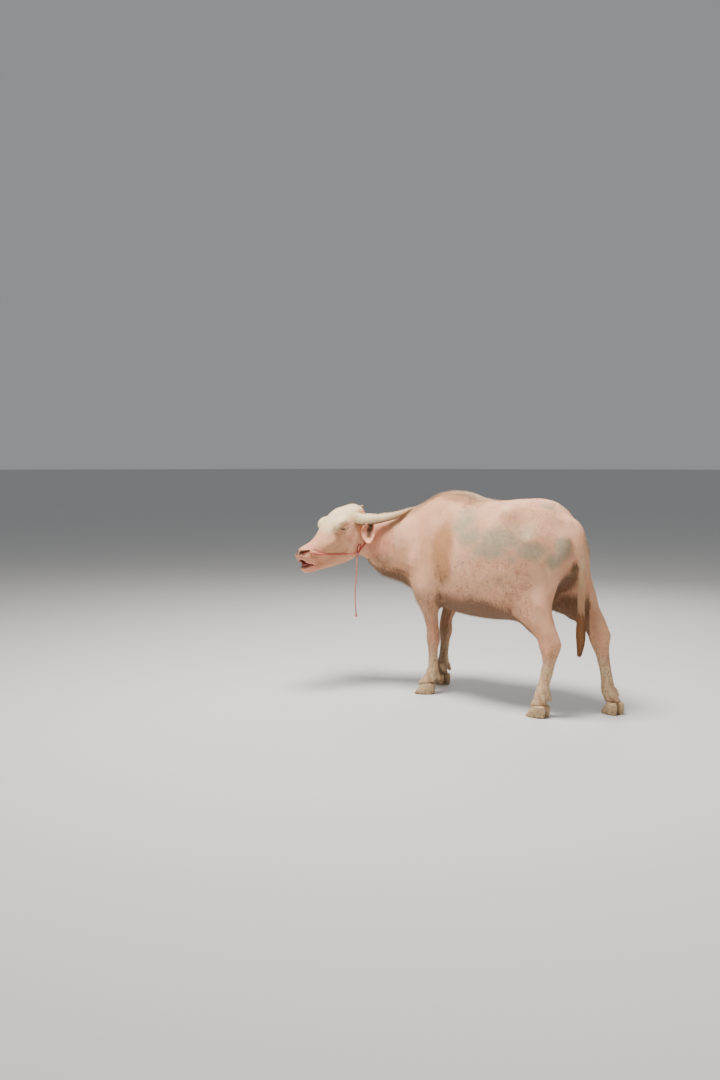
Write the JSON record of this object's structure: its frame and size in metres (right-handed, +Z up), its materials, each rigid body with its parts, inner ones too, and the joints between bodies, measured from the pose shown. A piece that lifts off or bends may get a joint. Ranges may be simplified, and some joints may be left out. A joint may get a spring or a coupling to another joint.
{
  "type": "water buffalo",
  "caption": "Pale pink swamp water buffalo cow standing with her head turned to her left, wearing a red cord halter with a short free end.",
  "frame": {"origin": "on the floor, under the middle of the box round the animal without the halter's free end", "axes": "+Z up; she faces -X, her left side is towards -Y, and the head is turned towards -Y"},
  "size_m": [2.0018, 1.1064, 1.3174],
  "materials": {
    "hide": "matte",
    "horn": "satin",
    "hoof_horn": "matte",
    "eye": "wet",
    "tongue": "wet",
    "rope": "matte"
  },
  "bodies": {
    "root": {"left_fore_upper": "hide", "left_fore_lower": "hide", "right_fore_upper": "hide", "right_fore_lower": "hide", "left_hind_upper": "hide", "left_hind_lower": "hide", "right_hind_upper": "hide", "right_hind_lower": "hide", "torso": "hide", "neck": "hide", "head": "hide", "left_eye": "eye", "right_eye": "eye", "tongue": "tongue", "left_horn": "horn", "left_ear": "hide", "right_horn": "horn", "right_ear": "hide", "tail": "hide", "left_fore_claw_inner": "hoof_horn", "left_fore_claw_outer": "hoof_horn", "right_fore_claw_inner": "hoof_horn", "right_fore_claw_outer": "hoof_horn", "left_hind_claw_inner": "hoof_horn", "left_hind_claw_outer": "hoof_horn", "right_hind_claw_inner": "hoof_horn", "right_hind_claw_outer": "hoof_horn", "left_fore_dewclaw_inner": "hoof_horn", "left_fore_dewclaw_outer": "hoof_horn", "right_fore_dewclaw_inner": "hoof_horn", "right_fore_dewclaw_outer": "hoof_horn", "left_hind_dewclaw_inner": "hoof_horn", "left_hind_dewclaw_outer": "hoof_horn", "right_hind_dewclaw_inner": "hoof_horn", "right_hind_dewclaw_outer": "hoof_horn", "halter_cheek_left": "rope", "halter_cheek_right": "rope", "halter_nape": "rope", "halter_knot_left": "rope", "halter_knot_right": "rope", "halter_free_end": "rope"}
  },
  "joints": []
}
